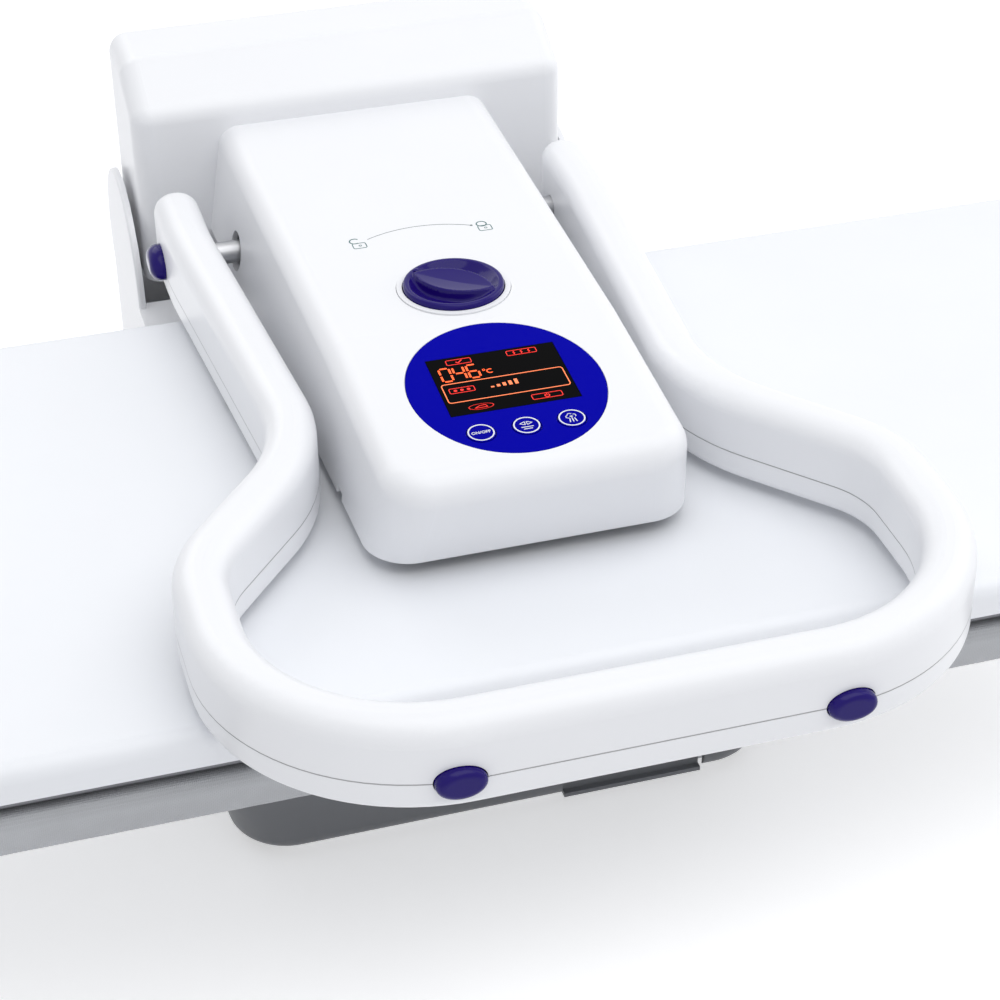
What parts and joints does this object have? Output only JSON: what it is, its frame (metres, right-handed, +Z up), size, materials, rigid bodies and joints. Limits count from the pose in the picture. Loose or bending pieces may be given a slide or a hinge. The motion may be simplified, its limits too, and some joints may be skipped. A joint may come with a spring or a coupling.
{
  "type": "ironing press",
  "caption": "Table-top ironing press: a long white plate under a hinged arm with display and lock knob closes on a padded board; loop handle with steam buttons, pull-out tank.",
  "frame": {"origin": "under the middle of the whole press, on the surface that its feet stand on", "axes": "+Z up, the user stands at -Y, +X to the user's right along the plate"},
  "size_m": [0.676, 0.5134, 0.243],
  "materials": {
    "white_moulding": "glossy",
    "plate_white": "semi-gloss enamel",
    "cast_sole": "matt coated",
    "bare_steel": "satin",
    "spring_steel": "oiled",
    "element_sheath": "heat tinted",
    "mat_fibre": "felted",
    "silver_cloth": "metallised weave",
    "foam_pad": "open foam",
    "tray_steel": "zinc plated",
    "grey_moulding": "fine grain",
    "black_moulding": "matt",
    "foot_rubber": "matt",
    "tank_clear": "smoky",
    "hose_silicone": "translucent",
    "loom_sleeve": "braided sleeve",
    "circuit_board": "lacquered",
    "pump_body": "satin",
    "bush_polymer": "satin",
    "violet_moulding": "glossy",
    "violet_dark": "glossy",
    "overlay_blue": "glossy film",
    "screen_black": "glossy",
    "key_blue": "glossy"
  },
  "bodies": {
    "base": {"base_cover": "grey_moulding", "base_plate": "tray_steel", "rubber_feet": "foot_rubber", "base_screws": "bare_steel", "board_posts": "bare_steel", "board_tray": "tray_steel", "board_pad": "foam_pad", "board_cloth": "silver_cloth", "tank_bay": "black_moulding", "water_pump": "pump_body", "base_hose": "hose_silicone", "power_board": "circuit_board", "mains_gland": "black_moulding", "hinge_brackets": "bare_steel", "bracket_tie": "bare_steel", "column_cover": "white_moulding", "hinge_shaft": "bare_steel", "shaft_clips": "spring_steel", "lift_springs": "spring_steel", "lock_sector": "bare_steel"},
    "tank": {"water_tank": "tank_clear", "tank_front": "grey_moulding", "filler_plug": "foot_rubber"},
    "arm": {"arm_top_cover": "white_moulding", "arm_lower_cover": "white_moulding", "arm_screws": "bare_steel", "hinge_hood": "white_moulding", "arm_frame": "bare_steel", "hinge_bushes": "bush_polymer", "hanger_pin": "bare_steel", "handle_spring": "spring_steel", "arm_hose": "hose_silicone", "wiring_loom": "loom_sleeve", "arm_clips": "bush_polymer", "display_overlay": "overlay_blue", "display_screen": "screen_black", "control_board": "circuit_board", "knob_collar": "violet_dark"},
    "plate": {"plate_cover": "plate_white", "sole_plate": "cast_sole", "heating_element": "element_sheath", "insulation_mat": "mat_fibre", "plate_yoke": "bare_steel", "plate_sensors": "black_moulding", "steam_lid": "bare_steel"},
    "handle": {"handle_upper_shell": "white_moulding", "handle_lower_shell": "white_moulding", "handle_strip": "bare_steel", "handle_screws": "bare_steel", "handle_shaft": "bare_steel", "handle_caps": "violet_moulding", "steam_switches": "black_moulding"},
    "knob": {"lock_knob": "violet_moulding", "knob_shaft": "bare_steel"},
    "rod": {"lock_rod": "bare_steel"},
    "left_steam_button": {"steam_button_left": "violet_moulding"},
    "right_steam_button": {"steam_button_right": "violet_moulding"},
    "power_button": {"power_key": "key_blue"},
    "mode_button": {"mode_key": "key_blue"},
    "steam_button": {"steam_key": "key_blue"}
  },
  "joints": [
    {"name": "arm_hinge", "type": "hinge", "parent": "base", "child": "arm", "pos_m": [0, 0.2037, 0.14], "axis": [-1, 0, 0], "range_deg": [0, 50]},
    {"name": "handle_hinge", "type": "hinge", "parent": "arm", "child": "handle", "pos_m": [0, 0.1217, 0.1795], "axis": [-1, 0, 0], "range_deg": [0, 20]},
    {"name": "plate_float", "type": "hinge", "parent": "arm", "child": "plate", "pos_m": [0, -0.0413, 0.176], "axis": [1, 0, 0], "range_deg": [-0.7, 0.7]},
    {"name": "knob_turn", "type": "hinge", "parent": "arm", "child": "knob", "pos_m": [0, -0.0023, 0.21], "axis": [0, 0, -1], "range_deg": [0, 72]},
    {"name": "rod_slide", "type": "slide", "parent": "arm", "child": "rod", "axis": [0, 1, 0], "range_m": [0, 0.00954]},
    {"name": "left_steam_press", "type": "slide", "parent": "handle", "child": "left_steam_button", "axis": [0, 1, 0], "range_m": [0, 0.002], "stiffness_N_per_m": 300},
    {"name": "right_steam_press", "type": "slide", "parent": "handle", "child": "right_steam_button", "axis": [0, 1, 0], "range_m": [0, 0.002], "stiffness_N_per_m": 300},
    {"name": "power_press", "type": "slide", "parent": "arm", "child": "power_button", "axis": [0, 0.0753, -0.9972], "range_m": [0, 0.0005], "stiffness_N_per_m": 300},
    {"name": "mode_press", "type": "slide", "parent": "arm", "child": "mode_button", "axis": [0, 0.0753, -0.9972], "range_m": [0, 0.0005], "stiffness_N_per_m": 300},
    {"name": "steam_press", "type": "slide", "parent": "arm", "child": "steam_button", "axis": [0, 0.0753, -0.9972], "range_m": [0, 0.0005], "stiffness_N_per_m": 300},
    {"name": "tank_slide", "type": "slide", "parent": "base", "child": "tank", "axis": [0, -1, 0], "range_m": [0, 0.14]}
  ],
  "couplings": [
    {"joint": "rod_slide", "follows": "knob_turn", "m_per_rad": 0.0075775}
  ]
}
